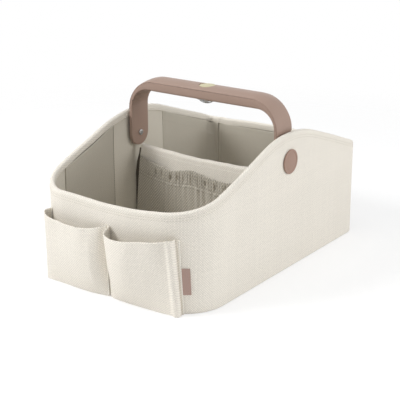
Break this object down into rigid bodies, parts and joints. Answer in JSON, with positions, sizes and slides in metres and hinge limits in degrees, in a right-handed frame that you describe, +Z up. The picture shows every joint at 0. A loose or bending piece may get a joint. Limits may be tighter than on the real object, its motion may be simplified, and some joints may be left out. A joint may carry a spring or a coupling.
{
  "type": "diaper caddy",
  "caption": "Open soft-sided nursery caddy of cloth over boards, with outside pockets, a lift-out divider and a folding carry handle that holds a small push-button light.",
  "frame": {"origin": "middle of the base, on the surface that the caddy stands on", "axes": "+X to the right across the caddy seen from its front pockets, +Y along it from the front pockets to the back, +Z up"},
  "size_m": [0.246, 0.3854, 0.2151],
  "materials": {
    "outer_cloth": "woven, matt",
    "lining_cloth": "woven, matt",
    "gathered_cloth": "woven twill, matt",
    "elastic": "woven elastic, matt",
    "board": "plain, inside the cloth",
    "hook_and_loop": "hook-and-loop tape",
    "label_cloth": "woven tab, bare",
    "handle_plastic": "fine satin texture",
    "pivot_plastic": "fine satin texture",
    "button_plastic": "satin, slightly translucent",
    "lens_plastic": "clear, polished",
    "circuit_board": "inside the grip",
    "lamp": "inside the grip",
    "switch_plastic": "inside the grip",
    "cell_sleeve": "plain sleeve, inside the grip",
    "steel": "plated"
  },
  "bodies": {
    "caddy": {"base_cloth": "outer_cloth", "base_board": "board", "base_lining": "lining_cloth", "base_loop_strip": "hook_and_loop", "outer_wrap": "outer_cloth", "outer_back": "outer_cloth", "board_front": "board", "board_back": "board", "board_left": "board", "board_right": "board", "lining_wrap": "lining_cloth", "lining_back": "lining_cloth", "rim_facing": "outer_cloth", "side_pocket_front_left": "lining_cloth", "side_pocket_front_right": "lining_cloth", "side_pocket_rear_left": "lining_cloth", "side_pocket_rear_right": "lining_cloth", "back_pocket": "lining_cloth", "front_pocket_left": "outer_cloth", "front_pocket_right": "outer_cloth", "label_tab": "label_cloth", "pivot_cap_left": "pivot_plastic", "pivot_cap_right": "pivot_plastic", "pivot_washer_left": "pivot_plastic", "pivot_washer_right": "pivot_plastic", "pivot_screw_left": "steel", "pivot_screw_right": "steel"},
    "handle": {"handle_shell": "handle_plastic", "handle_cap": "handle_plastic", "cover_screw_left": "steel", "cover_screw_right": "steel", "light_lens": "lens_plastic", "lens_bezel": "steel", "light_board": "circuit_board", "button_switch": "switch_plastic", "light_led_1": "lamp", "light_led_2": "lamp", "light_led_3": "lamp", "battery_1": "cell_sleeve", "battery_2": "cell_sleeve", "battery_contact_1": "steel", "battery_contact_2": "steel", "battery_door": "handle_plastic", "battery_door_screw": "steel"},
    "light_button": {"light_button": "button_plastic"},
    "divider": {"divider_board": "board", "divider_cover": "outer_cloth", "divider_pocket": "gathered_cloth", "pocket_elastic": "elastic", "divider_hook_strip": "hook_and_loop"}
  },
  "joints": [
    {"name": "handle_fold", "type": "hinge", "parent": "caddy", "child": "handle", "pos_m": [0, 0.0098, 0.1379], "axis": [1, 0, 0], "range_deg": [-90, 90]},
    {"name": "divider_lift", "type": "slide", "parent": "caddy", "child": "divider", "axis": [0, 0, 1], "range_m": [0, 0.065]},
    {"name": "light_button_press", "type": "slide", "parent": "handle", "child": "light_button", "axis": [0, 0, -1], "range_m": [0, 0.0008], "stiffness_N_per_m": 1500, "springref_m": -0.0005}
  ]
}
